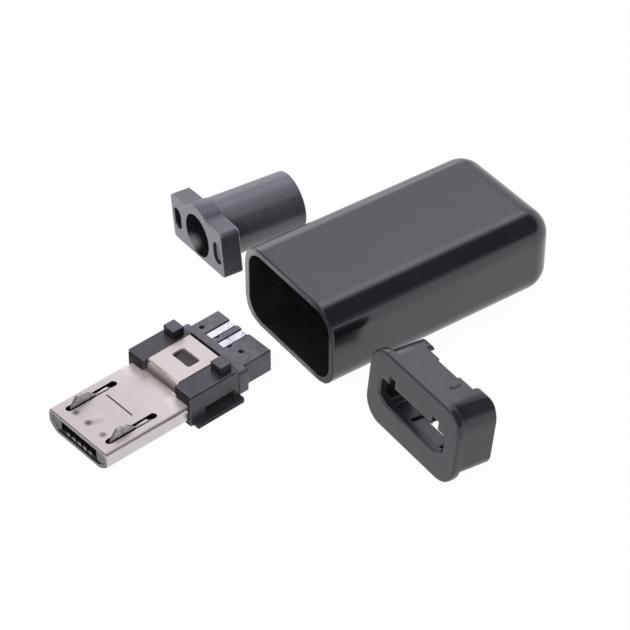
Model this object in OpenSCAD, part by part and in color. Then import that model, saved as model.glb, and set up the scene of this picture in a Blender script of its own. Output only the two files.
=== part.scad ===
// Micro USB plug kit, five-contact solder type, laid out as loose pieces:
// plug insert, casing, front bezel and strain relief.
// Millimetres, +Z up. The origin is the centre of the casing's flat base,
// and +X runs from the casing's open mouth to its closed rear end.

/* [Plug shell] */
// Outside width of the plug nose
shell_w = 6.85; // [6.6:0.05:7.1]
// Outside height of the plug nose
shell_h = 1.8; // [1.76:0.02:1.9]
// Sheet thickness of the shell
sheet_t = 0.28; // [0.2:0.02:0.3]
// Length of the nose in front of the housing
nose_len = 7.7; // [7.2:0.1:8.4]
// Depth of the shell inside the housing
shell_seat = 1.25; // [1.0:0.05:1.3]
// Width of the sloping lower corners
bevel_w = 0.85; // [0.7:0.05:0.9]
// Height of the sloping lower corners
bevel_h = 0.55; // [0.5:0.05:0.7]
// Radius of the upper corners
shell_r = 0.3; // [0.2:0.02:0.36]

/* [Clamp tab] */
// Width of the raised tab
tab_w = 3.6; // [3.2:0.1:3.8]
// Length of the raised tab
tab_len = 4.1; // [3.8:0.1:4.2]
// Length of the sloping riser in front of the tab
riser_run = 0.25; // [0.1:0.05:0.3]
// Width of the window in the tab
window_w = 2.0; // [1.4:0.1:2.2]
// Length of the window in the tab
window_len = 1.15; // [0.9:0.05:1.3]
// Distance from the riser to the window
window_setback = 1.65; // [1.4:0.05:1.8]
// Corner radius of the window
window_r = 0.2; // [0.1:0.02:0.3]

/* [Latches] */
// Distance of each latch from the side of the nose
latch_inset = 1.075; // [1.0:0.025:1.15]
// Sheet thickness of a latch
latch_t = 0.26; // [0.22:0.02:0.3]
// Height of the latch arm
arm_h = 0.35; // [0.3:0.01:0.38]
// Height of the hook above the shell
hook_rise = 0.8; // [0.6:0.05:0.85]
// Length of the hook along the nose
hook_len = 2.35; // [2.2:0.05:2.5]
// Length of the hook's front slope
hook_ramp = 0.67; // [0.5:0.01:0.8]
// Length of the hook's rear slope
hook_back = 0.74; // [0.5:0.01:0.8]
// Distance of the hook from the nose tip
hook_setback = 1.2; // [1.1:0.05:1.4]
// Length of each slot in the shell
slot_len = 4.65; // [4.3:0.05:5.0]
// Width of each slot
slot_w = 0.56; // [0.5:0.02:0.6]
// Radius of the eye at the root of a latch
eye_r = 0.3; // [0.26:0.01:0.32]

/* [Housing] */
// Length of the shoulder housing
housing_len = 4.7; // [4.6:0.1:5.2]
// Wall of the shoulder housing at each side of the nose
shoulder_side = 0.2; // [0.16:0.02:0.4]
// Height of the shoulders above the nose
shoulder_rise = 1.1; // [1.0:0.05:1.3]
// Reach of the foot lip past the shoulders
foot_reach = 0.58; // [0.4:0.02:0.7]
// Height of the foot lip
foot_h = 0.5; // [0.4:0.05:0.6]
// Height of the groove above the foot lip
groove_h = 0.6; // [0.4:0.05:0.8]
// Depth of that groove
groove_d = 0.65; // [0.4:0.05:0.7]
// Width of a shoulder bump
bump_w = 1.2; // [1.0:0.05:1.3]
// Length of a shoulder bump
bump_len = 1.05; // [0.8:0.05:1.2]
// Height of a shoulder bump
bump_h = 0.75; // [0.5:0.05:0.9]

/* [Contact carrier] */
// Gap between the tongue in the mouth and the latches
tongue_gap = 0.25; // [0.24:0.01:0.35]
// Thickness of the tongue in the mouth
tongue_t = 0.32; // [0.3:0.01:0.4]
// Distance of the tongue from the nose tip
tongue_setback = 0.1; // [0.05:0.05:0.4]
// Thickness of the flange behind the housing
collar_t = 0.95; // [0.9:0.05:1.1]
// Width of that flange
collar_w = 7.2; // [6.8:0.1:7.6]
// Length of the solder block
block_len = 2.65; // [2.4:0.05:3.0]
// Width of the solder block
block_w = 6.2; // [5.8:0.1:6.6]
// Height of the solder block above the nose
block_rise = 0.55; // [0.45:0.05:0.65]
// Height of the underside of the solder block
block_base = 0.3; // [0.25:0.05:0.35]

/* [Contacts] */
// Pitch of the contacts in the mouth
contact_pitch = 0.65; // [0.62:0.01:0.66]
// Width of a contact
contact_w = 0.4; // [0.34:0.01:0.42]
// Sheet thickness of a contact
contact_t = 0.15; // [0.12:0.01:0.16]
// Rise of the spring tip above the tongue
tip_rise = 0.06; // [0.04:0.01:0.12]
// Width of a solder pad
pad_w = 0.66; // [0.56:0.02:0.7]
// Pitch of the two upper solder pads
upper_pitch = 1.4; // [1.35:0.05:1.5]
// Sideways offset of the upper solder pads
upper_shift = 0.55; // [0.5:0.01:0.6]
// Pitch of the three lower solder pads
lower_pitch = 1.4; // [1.3:0.05:1.5]

/* [Casing] */
// Length of the casing
casing_len = 21.4; // [20:0.1:24]
// Width of the casing
casing_w = 11.6; // [11.2:0.1:12.4]
// Height of the casing
casing_h = 7.4; // [7.2:0.1:8]
// Radius of the casing's long edges and rear edges
casing_r = 2.2; // [1.6:0.1:2.6]
// Wall thickness of the casing
casing_wall = 0.56; // [0.5:0.02:0.58]
// Thickness of the casing's rear wall
rear_wall = 1.3; // [1:0.1:1.8]

/* [Bezel] */
// Distance of the bezel's front plate from the casing's sides
plate_inset = 0.5; // [0.4:0.02:0.54]
// Height of the casing minus that of the front plate
plate_drop = 0.8; // [0.7:0.05:0.9]
// Thickness of the front plate
plate_t = 0.72; // [0.6:0.02:0.9]
// Corner radius of the front plate
plate_r = 1.85; // [1.6:0.05:2.1]
// Overall depth of the bezel
bezel_len = 3.9; // [3.7:0.1:4.4]
// Width of the lip at each side
lip_side = 0.45; // [0.4:0.01:0.5]
// Width of the lip at the bottom
lip_base = 0.35; // [0.3:0.01:0.45]
// Radius of the body's upper corners
body_r = 2.0; // [1.7:0.05:2.2]
// Radius of the body's lower corners
body_base_r = 1.2; // [1.0:0.05:1.5]
// Radius of the ears at the rear of the body
ear_r = 0.75; // [0.4:0.05:0.8]
// Wall thickness of the bezel's body
bezel_wall = 0.6; // [0.5:0.02:0.64]
// Depth of the cut-out in the top wall, from the rear
top_cut = 0.85; // [0.6:0.05:1.0]
// Depth of the cut-out in the bottom wall, from the rear
base_cut = 1.15; // [0.9:0.05:1.4]
// Width of the cut-out in the top wall
top_w = 5.5; // [5.0:0.1:5.8]
// Width of the cut-out in the bottom wall
base_w = 2.6; // [2.2:0.1:3.0]
// Room around the plug nose, at each side of the opening
opening_side = 0.45; // [0.3:0.05:0.5]
// Room around the plug nose, above and below
opening_gap = 0.13; // [0.1:0.01:0.2]

/* [Strain relief] */
// Outside radius of the tube
tube_r = 2.54; // [2.3:0.02:2.56]
// Radius of the cable bore
bore_r = 1.8; // [1.5:0.05:1.8]
// Overall length of the strain relief
relief_len = 8.6; // [8:0.1:10]
// Width of the flange
flange_w = 8.2; // [7.8:0.1:8.8]
// Height of the flange's ends
flange_h = 4.0; // [3.8:0.05:4.2]
// Thickness of the flange
flange_t = 1.7; // [1.4:0.05:2]

/* [Layout] */
// Gap between the casing's mouth and the plug insert
plug_gap = 2.6; // [2.4:0.05:4]
// Sideways offset of the plug nose
plug_shift = 0.1; // [-0.5:0.05:0.5]
// Heading of the plug insert
plug_yaw = 6.4; // [0:0.1:8]
// Gap between the casing's side and the bezel
bezel_gap = 2.8; // [2.5:0.1:4]
// Setback of the bezel from the casing's mouth
bezel_back = 0.75; // [0:0.05:2]
// Heading of the bezel
bezel_yaw = -0.7; // [-3:0.1:3]
// Gap between the casing's side and the strain relief
relief_gap = 3.35; // [3:0.05:4]
// Setback of the strain relief from the casing's mouth
relief_back = 0.5; // [0:0.05:2]
// Heading of the strain relief
relief_yaw = -3.9; // [-5:0.1:3]

/* [Hidden] */
$fn = 48;

// Overlap of a cutting body past the face that it opens
past = 0.5;
// Clearance of the shell and the tab in the housing
seat_fit = 0.04;
// Clearance of the carrier in the shell and in the housing
carrier_fit = 0.02;
// Clearance of a contact in its channel
contact_fit = 0.02;
// Running clearance of a latch eye
eye_fit = 0.03;
// Side clearance of a latch arm in the housing
arm_fit = 0.06;
// Clearance between a latch arm and the sheet above it
arm_gap = 0.07;
// Largest turn of a latch, in degrees
latch_turn = 5;
// Clearance of the relief's tube in the casing's rear wall
tube_fit = 0.11;
// Setback of the riser, and of the foot lip, from the housing's front face
riser_setback = 0.15;
foot_setback = 0.25;
// Height of the tab above the shoulders
tab_proud = 0.05;
// Length of a slot in front of its hook, and radius of its rear end
slot_lead = 0.35;
slot_end_r = 0.3;
// Depth of the latch arm below the shell behind the hook, and length of its bend below the sheet
arm_inset = 0.06;
arm_drop = 0.53;
// Fall of the hook's crest from front to rear
crest_fall = 0.18;
// Wall between the shell's rear end and a latch eye
eye_lead = 0.2;
// Setback of the cheeks in the mouth, and their gap to the tongue
cheek_setback = 0.12;
cheek_gap = 0.1;
// Gap between the housing and the carrier's flange
collar_gap = 0.05;
// Skin of the solder block above the contacts inside it
block_skin = 0.3;
// Depth of a solder pad below its face of the block
pad_inset = 0.05;
// Distance of a solder pad from the ends of the block
pad_margin = 0.15;
// Room beside a solder pad in its slot
pad_room = 0.09;

// Heights of the shell, which lies flush with the foot of the housing
shell_top = shell_h;
mouth_top = shell_top - sheet_t;
mouth_base = sheet_t;
// Stations along the plug insert, from the nose tip
shell_end = nose_len + shell_seat;
riser_x = nose_len + riser_setback;
tab_x = riser_x + riser_run;
tab_end = tab_x + tab_len;
window_x = tab_x + window_setback;
housing_end = nose_len + housing_len;
foot_x = nose_len + foot_setback;
// Widths and heights of the housing
housing_w = shell_w + 2 * shoulder_side;
housing_h = shell_h + shoulder_rise;
foot_w = housing_w + 2 * foot_reach;
tab_top = housing_h + tab_proud;
// Latch stations and heights
latch_y = shell_w / 2 - latch_inset;
slot_x = hook_setback - slot_lead;
arm_top = mouth_top - arm_gap;
arm_base = arm_top - arm_h;
hook_top = shell_top + hook_rise;
arm_crest = shell_top - arm_inset;
arm_bend = slot_x + slot_len - slot_end_r;
eye_x = shell_end + eye_r + eye_lead;
eye_z = (arm_top + arm_base) / 2;
arm_swing = (eye_x - shell_end + past) * tan(latch_turn);
// Contact carrier heights and stations
tongue_w = 2 * latch_y - latch_t - 2 * tongue_gap;
cheek_y = tongue_w / 2 + cheek_gap;
block_top = shell_h + block_rise;
tongue_base = mouth_base + carrier_fit;
tongue_top = tongue_base + tongue_t;
core_top = block_top - block_skin;
collar_x = housing_end + collar_gap;
block_x = collar_x + collar_t;
plug_len = block_x + block_len;
// Contact heights and stations
strip_top = tongue_top;
strip_base = strip_top - contact_t;
tip_x = tongue_setback + contact_fit;
step_x = collar_x + pad_margin;
pad_x = block_x + pad_margin;
pad_end = plug_len - pad_margin;
upper_pad_top = block_top - pad_inset;
lower_pad_base = block_base + pad_inset;
bridge_top = core_top;
bridge_base = bridge_top - contact_t;
pad_slot_w = pad_w + 2 * pad_room;
// Bezel values
plate_w = casing_w - 2 * plate_inset;
plate_h = casing_h - plate_drop;
body_w = plate_w - 2 * lip_side;
body_h = plate_h - lip_base;
opening_w = shell_w + 2 * opening_side;
opening_h = shell_h + 2 * opening_gap;
opening_z = (plate_h - opening_h) / 2 - opening_gap;
notch_w = 3 * latch_t;
notch_h = hook_rise - opening_gap;
notch_y = latch_y + latch_t;
bezel_lean = atan(lip_base / (bezel_len - plate_t));
// Strain relief values
tube_z = flange_h / 2;
flange_reach = norm([flange_w / 2, tube_z]);
relief_roll = atan2(flange_w / 2, tube_z) - acos(tube_r / flange_reach);
// Places of the loose pieces
mouth_x = -casing_len / 2;
plug_x = mouth_x - plug_gap - plug_len;
bezel_y = -casing_w / 2 - bezel_gap - plate_w / 2;
relief_y = casing_w / 2 + relief_gap + flange_w / 2;

// Colours
steel = "#d6cfce";
tinned = "#e9e8ea";
spring_steel = "#a39b93";
black = "#2a2a2d";
gloss_black = "#1d1d20";
soft_black = "#3a3a3d";

// Contact 1 is on the left as the mouth faces away from the cable
function contact_y(i) = (3 - i) * contact_pitch;
function upper_pad_y(i) = upper_shift + (3 - i) * upper_pitch / 2;
function lower_pad_y(i) = (3 - i) * lower_pitch / 2;

// Extrudes a (y, z) outline along x
module along_x(x, len) {
    translate([x, 0, 0]) rotate([90, 0, 90]) linear_extrude(len) children();
}

// Extrudes an (x, z) outline across y, centred on y
module across_y(y, len) {
    translate([0, y + len / 2, 0]) rotate([90, 0, 0]) linear_extrude(len) children();
}

// Box from x0 to x1 and z0 to z1, centred on y, grown by g on every side
module bar(x0, x1, y, w, z0, z1, g = 0) {
    translate([x0 - g, y - w / 2 - g, z0 - g]) cube([x1 - x0 + 2 * g, w + 2 * g, z1 - z0 + 2 * g]);
}

// Rectangle with round corners, centred on x and standing on y = 0.
// The lower corners may have a radius of their own.
module rounded_rect(w, h, r, low_r = 0) {
    b = low_r > 0 ? low_r : r;
    polygon([[-w / 2 + b, 0], [w / 2 - b, 0], [w / 2, b], [w / 2, h - r],
             [w / 2 - r, h], [-w / 2 + r, h], [-w / 2, h - r], [-w / 2, b]]);
    for (side = [-1, 1]) {
        translate([side * (w / 2 - b), b]) circle(b);
        translate([side * (w / 2 - r), h - r]) circle(r);
    }
}

// Outline of the plug nose, standing on y = 0: flat top, sloping lower corners
module nose_outline(w, h, cut_w, cut_h, r) {
    polygon([[-w / 2 + cut_w, 0], [w / 2 - cut_w, 0], [w / 2, cut_h], [w / 2, h - r],
             [w / 2 - r, h], [-w / 2 + r, h], [-w / 2, h - r], [-w / 2, cut_h]]);
    for (x = [-w / 2 + r, w / 2 - r]) translate([x, h - r]) circle(r);
}

// Outline of the space inside the nose, one sheet thickness inside it
module mouth_outline() {
    slope = norm([bevel_w, bevel_h]);
    side = shell_w / 2 - sheet_t;
    corner_z = bevel_h + sheet_t * (slope - bevel_h) / bevel_w;
    corner_y = shell_w / 2 - bevel_w - sheet_t * (slope - bevel_w) / bevel_h;
    polygon([[-corner_y, sheet_t], [corner_y, sheet_t], [side, corner_z], [side, shell_h - sheet_t],
             [-side, shell_h - sheet_t], [-side, corner_z]]);
}

module place_plug() {
    translate([plug_x, plug_shift, 0]) rotate([0, 0, plug_yaw]) children();
}

module place_bezel() {
    translate([mouth_x + bezel_back, bezel_y, 0]) rotate([0, 0, bezel_yaw])
        translate([0, 0, plate_t * sin(bezel_lean)]) rotate([0, bezel_lean, 0]) children();
}

module place_relief() {
    translate([mouth_x + relief_back, relief_y, tube_r]) rotate([0, 0, relief_yaw])
        rotate([-relief_roll, 0, 0]) translate([0, 0, -tube_z]) children();
}

// Slot for a latch, with a round relief hole at its rear end
module latch_slot(y) {
    bar(slot_x + slot_w / 2, slot_x + slot_len - slot_end_r, y, slot_w, mouth_top - past, shell_top + past);
    translate([slot_x + slot_w / 2, y, mouth_top - past]) cylinder(h = sheet_t + 2 * past, d = slot_w);
    translate([slot_x + slot_len - slot_end_r, y, mouth_top - past])
        cylinder(h = sheet_t + 2 * past, r = slot_end_r);
}

// Raised tab: riser from the top sheet and a flat plate with a window
module clamp_tab() {
    difference() {
        across_y(0, tab_w)
            polygon([[riser_x, mouth_top], [riser_x + sheet_t, mouth_top],
                     [tab_x + sheet_t, tab_top - sheet_t], [tab_end, tab_top - sheet_t],
                     [tab_end, tab_top], [tab_x, tab_top], [riser_x, shell_top]]);
        translate([window_x + window_len / 2, -window_w / 2, tab_top - sheet_t - past])
            linear_extrude(sheet_t + 2 * past) rounded_rect(window_len, window_w, window_r);
    }
}

// Stamped shell: nose tube with latch slots, pressed marks and the clamp tab
module plug_shell() {
    mark_d = 0.06;
    mark_r = 0.35;
    mark_x = 1.22;
    score_x = 4.02;
    score_y = 0.2;
    score_w = 0.15;
    score_len = 3;
    color(steel) place_plug() {
        difference() {
            along_x(0, shell_end) nose_outline(shell_w, shell_h, bevel_w, bevel_h, shell_r);
            // The mouth, with a cheek left standing at each side of the tongue
            difference() {
                along_x(-past, shell_end + 2 * past) mouth_outline();
                for (side = [-1, 1])
                    bar(cheek_setback, cheek_setback + sheet_t, side * (cheek_y + shell_w / 2) / 2,
                        shell_w / 2 - cheek_y, -past, shell_top + past);
            }
            for (y = [-latch_y, latch_y]) latch_slot(y);
            // The sheet behind the riser is bent up into the tab
            bar(riser_x + sheet_t, shell_end + past, 0, tab_w, mouth_top - past, shell_top + past);
            // Three pressed marks and a scored line on the flat
            for (y = [-1.5, score_y, 1.7])
                translate([mark_x, y, shell_top + mark_r - mark_d]) sphere(mark_r);
            bar(score_x, score_x + score_w, score_y, score_len, shell_top - mark_d, shell_top + past);
        }
        clamp_tab();
    }
}

// Space that a latch sweeps inside the housing
module latch_pocket(y) {
    pocket_w = latch_t + 2 * arm_fit;
    translate([eye_x, y + pocket_w / 2, eye_z]) rotate([90, 0, 0])
        cylinder(h = pocket_w, r = eye_r + eye_fit);
    bar(shell_end - past, eye_x, y, pocket_w, arm_base - arm_swing - eye_fit, arm_top + eye_fit);
}

// Black moulding behind the nose
module shoulder_housing() {
    line_d = 0.12;
    line_end = housing_end - 0.3;
    groove_x = shell_end + 0.2;
    groove_end = housing_end - 0.4;
    bump_x = tab_end - bump_len - 0.25;
    bump_y = tab_w / 2 + 0.35 + bump_w / 2;
    floor_z = tab_top - sheet_t - seat_fit;
    catch_rise = 0.2;
    catch_x = window_x + 2 * seat_fit;
    catch_end = window_x + window_len - 2 * seat_fit;
    color(black) place_plug() difference() {
        union() {
            bar(nose_len, housing_end, 0, housing_w, 0, housing_h);
            bar(foot_x, housing_end, 0, foot_w, 0, foot_h);
            for (y = [-bump_y, bump_y])
                bar(bump_x, bump_x + bump_len, y, bump_w, housing_h - past, housing_h + bump_h);
        }
        // Seat of the shell, and the tunnel of the contact carrier
        translate([0, 0, -seat_fit])
            along_x(nose_len - past, shell_seat + past + seat_fit)
                nose_outline(shell_w + 2 * seat_fit, shell_h + 2 * seat_fit, bevel_w, bevel_h, shell_r);
        bar(nose_len, housing_end + past, 0, tongue_w + 2 * carrier_fit,
            tongue_base - carrier_fit, core_top + carrier_fit);
        // Seat of the clamp tab, with a ramped catch left standing for the window
        difference() {
            union() {
                bar(nose_len - past, housing_end + past, 0, tab_w + 2 * seat_fit, floor_z, tab_top + past);
                bar(nose_len - past, tab_x + sheet_t + seat_fit, 0, tab_w + 2 * seat_fit,
                    shell_top, tab_top + past);
            }
            across_y(0, window_w - 4 * seat_fit)
                polygon([[catch_x, floor_z - past], [catch_end, floor_z - past],
                         [catch_end, floor_z + catch_rise], [catch_x, floor_z]]);
        }
        for (y = [-latch_y, latch_y]) latch_pocket(y);
        for (side = [-1, 1]) {
            // Groove above the foot lip, and the fine line along the shoulder
            bar(groove_x, groove_end, side * housing_w / 2, 2 * groove_d, foot_h, foot_h + groove_h);
            bar(nose_len - past, line_end, side * housing_w / 2, 2 * line_d,
                housing_h - 2 * line_d, housing_h - line_d);
        }
    }
}

// Spring contact with its solder pad, grown by g to cut its own channel
module contact(i, g = 0) {
    upper = i % 2 == 0;
    y = contact_y(i);
    pad_y = upper ? upper_pad_y(i) : lower_pad_y(i);
    tip_top = strip_top + tip_rise;
    tip_end = tip_x + 1;
    bar(tip_x, upper ? step_x + contact_t : pad_x, y, contact_w, strip_base, strip_top, g);
    bar(tip_x, tip_x + contact_t, y, contact_w, tongue_base + contact_fit, strip_top, g);
    across_y(y, contact_w + 2 * g)
        polygon([[tip_x, strip_base], [tip_x, strip_top], [tip_x + contact_t, tip_top],
                 [tip_x + 3 * contact_t, tip_top], [tip_end, strip_top], [tip_end, strip_base]]);
    if (upper) {
        bridge_w = abs(pad_y - y) + (contact_w + pad_w) / 2;
        bridge_y = (y - contact_w / 2 + pad_y + pad_w / 2) / 2;
        bar(step_x, step_x + contact_t, y, contact_w, strip_base, bridge_top, g);
        bar(step_x, step_x + contact_w, bridge_y, bridge_w, bridge_base, bridge_top, g);
        bar(step_x, pad_x, pad_y, pad_w, bridge_base, bridge_top, g);
        bar(pad_x - contact_t, pad_x, pad_y, pad_w, bridge_base, upper_pad_top, g);
        bar(pad_x - contact_t, pad_end, pad_y, pad_w, upper_pad_top - contact_t, upper_pad_top, g);
    } else {
        bar(pad_x - contact_t, pad_x, pad_y, pad_w, lower_pad_base, strip_top, g);
        bar(pad_x - contact_t, pad_end, pad_y, pad_w, lower_pad_base, lower_pad_base + contact_t, g);
    }
}

// Black moulding from the tongue in the mouth to the solder block
module contact_carrier() {
    collar_r = 0.3;
    collar_base = block_base / 2;
    pit_r = 0.2;
    pit_d = block_skin;
    pits = [[0.45, 2.4], [0.85, -1.7], [0.6, 0.88], [0.6, -0.62]];
    color(black) place_plug() difference() {
        union() {
            bar(tongue_setback, shell_end + past, 0, tongue_w, tongue_base, tongue_top);
            bar(shell_end + seat_fit, collar_x + past, 0, tongue_w, tongue_base, core_top);
            along_x(collar_x, collar_t) translate([0, collar_base])
                rounded_rect(collar_w, block_top - collar_base, collar_r);
            bar(collar_x + past, plug_len, 0, block_w, block_base, block_top);
        }
        for (i = [1 : 5]) {
            contact(i, contact_fit);
            // Open groove in the tongue, above each contact and in front of it
            bar(tongue_setback - past, shell_end, contact_y(i), contact_w,
                strip_base, tongue_top + past, contact_fit);
            bar(tongue_setback - past, tip_x + contact_t, contact_y(i), contact_w,
                tongue_base - past, tongue_top + past, contact_fit);
        }
        // Open slots for the solder pads
        for (i = [2, 4])
            bar(pad_x, plug_len + past, upper_pad_y(i), pad_slot_w,
                upper_pad_top - contact_t, block_top + past);
        for (i = [1, 3, 5])
            bar(pad_x, plug_len + past, lower_pad_y(i), pad_slot_w,
                block_base - past, lower_pad_base + contact_t);
        // Round pits left by the moulding pins
        for (p = pits)
            translate([block_x + p[0], p[1], block_top - pit_d]) cylinder(h = pit_d + past, r = pit_r);
    }
}

module contact_1() { color(tinned) place_plug() contact(1); }
module contact_2() { color(tinned) place_plug() contact(2); }
module contact_3() { color(tinned) place_plug() contact(3); }
module contact_4() { color(tinned) place_plug() contact(4); }
module contact_5() { color(tinned) place_plug() contact(5); }

// Spring latch: an arm on a round eye, with a hook that stands up through the shell
module latch(y) {
    tail = hook_setback + hook_len;
    across_y(y, latch_t)
        polygon([[hook_setback, arm_base], [eye_x, arm_base], [eye_x, arm_top], [arm_bend, arm_top],
                 [arm_bend - arm_drop, arm_crest], [tail, arm_crest],
                 [tail - hook_back, hook_top - crest_fall],
                 [hook_setback + hook_ramp, hook_top], [hook_setback, arm_crest]]);
    translate([eye_x, y + latch_t / 2, eye_z]) rotate([90, 0, 0]) cylinder(h = latch_t, r = eye_r);
}

module latch_left() { color(spring_steel) place_plug() latch(latch_y); }
module latch_right() { color(spring_steel) place_plug() latch(-latch_y); }

// Solid outside form of the casing: a rounded sleeve with a rounded rear end
module casing_form() {
    flat_y = casing_w / 2 - casing_r;
    cap_x = casing_len / 2 - casing_r;
    along_x(mouth_x, casing_len - casing_r) rounded_rect(casing_w, casing_h, casing_r);
    translate([cap_x, -flat_y, casing_r]) cube([casing_r, 2 * flat_y, casing_h - 2 * casing_r]);
    for (side = [-1, 1]) {
        // Rounded upright edge
        intersection() {
            translate([cap_x, side * flat_y, casing_r]) cylinder(h = casing_h - 2 * casing_r, r = casing_r);
            translate([cap_x, side > 0 ? flat_y : -casing_w / 2, 0]) cube([casing_r, casing_r, casing_h]);
        }
        // Rounded level edge
        intersection() {
            translate([cap_x, flat_y, side > 0 ? casing_h - casing_r : casing_r])
                rotate([90, 0, 0]) cylinder(h = 2 * flat_y, r = casing_r);
            translate([cap_x, -flat_y, side > 0 ? casing_h - casing_r : 0])
                cube([casing_r, 2 * flat_y, casing_r]);
        }
        // Rounded corners
        for (up = [-1, 1]) intersection() {
            translate([cap_x, side * flat_y, up > 0 ? casing_h - casing_r : casing_r]) sphere(casing_r);
            translate([cap_x, side > 0 ? flat_y : -casing_w / 2, up > 0 ? casing_h - casing_r : 0])
                cube(casing_r);
        }
    }
}

// Glossy sleeve with a round hole for the tube of the strain relief
module casing() {
    color(gloss_black) difference() {
        casing_form();
        translate([0, 0, casing_wall]) along_x(mouth_x - past, casing_len - rear_wall + past)
            rounded_rect(casing_w - 2 * casing_wall, casing_h - 2 * casing_wall, casing_r - casing_wall);
        translate([0, 0, casing_h / 2]) rotate([0, 90, 0]) cylinder(h = casing_len, r = tube_r + tube_fit);
    }
}

// Front cover with the plug opening, a lip and a hollow body
module bezel() {
    step_w = 2.4;
    step_d = 0.2;
    nib = [1.7, -1.9, plate_h];
    nib_r = 0.16;
    nib_len = 0.85;
    cavity_w = body_w - 2 * bezel_wall;
    cavity_h = body_h - 2 * bezel_wall;
    cavity_z = lip_base + bezel_wall;
    rib_w = 0.25;
    rib_h = 0.28;
    rib_y = base_w / 2 + 2 * rib_w;
    color(black) place_bezel() {
        difference() {
            union() {
                along_x(0, plate_t) rounded_rect(plate_w, plate_h, plate_r);
                translate([0, 0, lip_base]) along_x(plate_t, bezel_len - plate_t)
                    rounded_rect(body_w, body_h, body_r, body_base_r);
            }
            // Cavity, with two ribs left standing on its floor
            difference() {
                translate([0, 0, cavity_z]) along_x(plate_t, bezel_len)
                    rounded_rect(cavity_w, cavity_h, body_r - bezel_wall, body_base_r - bezel_wall);
                for (y = [-rib_y, rib_y]) bar(0, bezel_len, y, rib_w, 0, cavity_z + rib_h);
            }
            // Rounded upper ends of the ears
            across_y(0, plate_w) difference() {
                translate([bezel_len - ear_r, plate_h - ear_r]) square(ear_r + past);
                translate([bezel_len - ear_r, plate_h - ear_r]) circle(ear_r);
            }
            // Plug opening, with notches for the latch hooks
            translate([0, 0, opening_z]) along_x(-past, plate_t + 2 * past)
                nose_outline(opening_w, opening_h, bevel_w + opening_gap, bevel_h - opening_gap, shell_r);
            for (y = [-notch_y, notch_y])
                bar(-past, plate_t + past, y, notch_w,
                    opening_z + opening_h / 2, opening_z + opening_h + notch_h);
            // Cut-outs in the top wall and the bottom wall
            bar(bezel_len - top_cut, bezel_len + past, 0, top_w, plate_h / 2, plate_h + past);
            bar(bezel_len - top_cut - step_d, bezel_len + past, 0, step_w, plate_h / 2, plate_h + past);
            bar(bezel_len - base_cut, bezel_len + past, 0, base_w, 0, plate_h / 2);
        }
        translate(nib) rotate([0, 90, 0]) cylinder(h = nib_len, r = nib_r);
    }
}

// Flange with a tube that the cable goes through
module strain_relief() {
    flange_r = 0.35;
    collar_r = tube_r + 0.07;
    hole_w = 1.15;
    hole_h = 1.9;
    hole_y = flange_w / 2 - hole_w * 3 / 4;
    hole_d = [flange_t - 0.5, 0.25];
    color(soft_black) place_relief() difference() {
        union() {
            along_x(0, flange_t) {
                rounded_rect(flange_w, flange_h, flange_r);
                intersection() {
                    translate([0, tube_z]) circle(collar_r);
                    translate([-collar_r, tube_z]) square([2 * collar_r, collar_r]);
                }
            }
            translate([flange_t, 0, tube_z]) rotate([0, 90, 0])
                cylinder(h = relief_len - flange_t, r = tube_r);
        }
        translate([-past, 0, tube_z]) rotate([0, 90, 0]) cylinder(h = relief_len + 2 * past, r = bore_r);
        // A deep blind hole on the left and a shallow one on the right
        for (i = [0, 1])
            translate([0, (1 - 2 * i) * hole_y, tube_z]) along_x(-past, past + hole_d[i]) {
                square([hole_w, hole_h - hole_w], center = true);
                for (z = [-1, 1]) translate([0, z * (hole_h - hole_w) / 2]) circle(d = hole_w);
            }
    }
}

plug_shell();
shoulder_housing();
contact_carrier();
contact_1();
contact_2();
contact_3();
contact_4();
contact_5();
latch_left();
latch_right();
casing();
bezel();
strain_relief();
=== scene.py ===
import math

import bmesh
import bpy
from mathutils import Matrix, Vector


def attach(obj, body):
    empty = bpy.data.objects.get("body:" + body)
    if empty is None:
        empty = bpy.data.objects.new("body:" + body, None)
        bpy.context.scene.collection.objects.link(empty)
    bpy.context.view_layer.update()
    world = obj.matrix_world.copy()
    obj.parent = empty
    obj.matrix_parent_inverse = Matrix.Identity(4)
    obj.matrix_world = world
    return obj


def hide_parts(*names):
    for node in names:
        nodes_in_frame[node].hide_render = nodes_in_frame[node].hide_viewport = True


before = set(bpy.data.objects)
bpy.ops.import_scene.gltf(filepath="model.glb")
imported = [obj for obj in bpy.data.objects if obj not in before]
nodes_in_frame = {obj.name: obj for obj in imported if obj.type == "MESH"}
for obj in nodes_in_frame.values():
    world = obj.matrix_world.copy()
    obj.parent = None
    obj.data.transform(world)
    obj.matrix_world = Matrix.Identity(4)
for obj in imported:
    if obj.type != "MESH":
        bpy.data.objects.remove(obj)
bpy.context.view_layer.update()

scene = bpy.context.scene

# Lengths below are in millimetres, and the frame is in metres
MM = 0.001

# Sizes of the solids, under the names of the part's source
SHELL_H = 1.8
SHEET_T = 0.28
NOSE_LEN = 7.7
PLUG_LEN = 16.05
CASING_LEN = 21.4
CASING_W = 11.6
CASING_H = 7.4
PLATE_W = 10.6
PLATE_H = 6.6
PLATE_T = 0.72
BEZEL_LEN = 3.9
LIP_BASE = 0.35
TUBE_R = 2.54
FLANGE_W = 8.2
FLANGE_H = 4.0
FLANGE_T = 1.7
# Stations along the plug insert, from the nose tip, and widths of what is there
MARK_X = 1.22
SCORE_X = 4.02
SCORE_W = 0.15
RISER_X = 7.85
TAB_X = 8.1
WINDOW_X = 9.75
WINDOW_LEN = 1.15
WINDOW_W = 2.0
# Edges and faces of the contact carrier past this station are behind the housing
BEHIND_HOUSING = 12.0
# Ends and axes of the loose pieces
MOUTH_X = -CASING_LEN / 2
CASING_Z = CASING_H / 2
PLATE_Z = PLATE_H / 2
TUBE_Z = FLANGE_H / 2

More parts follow.
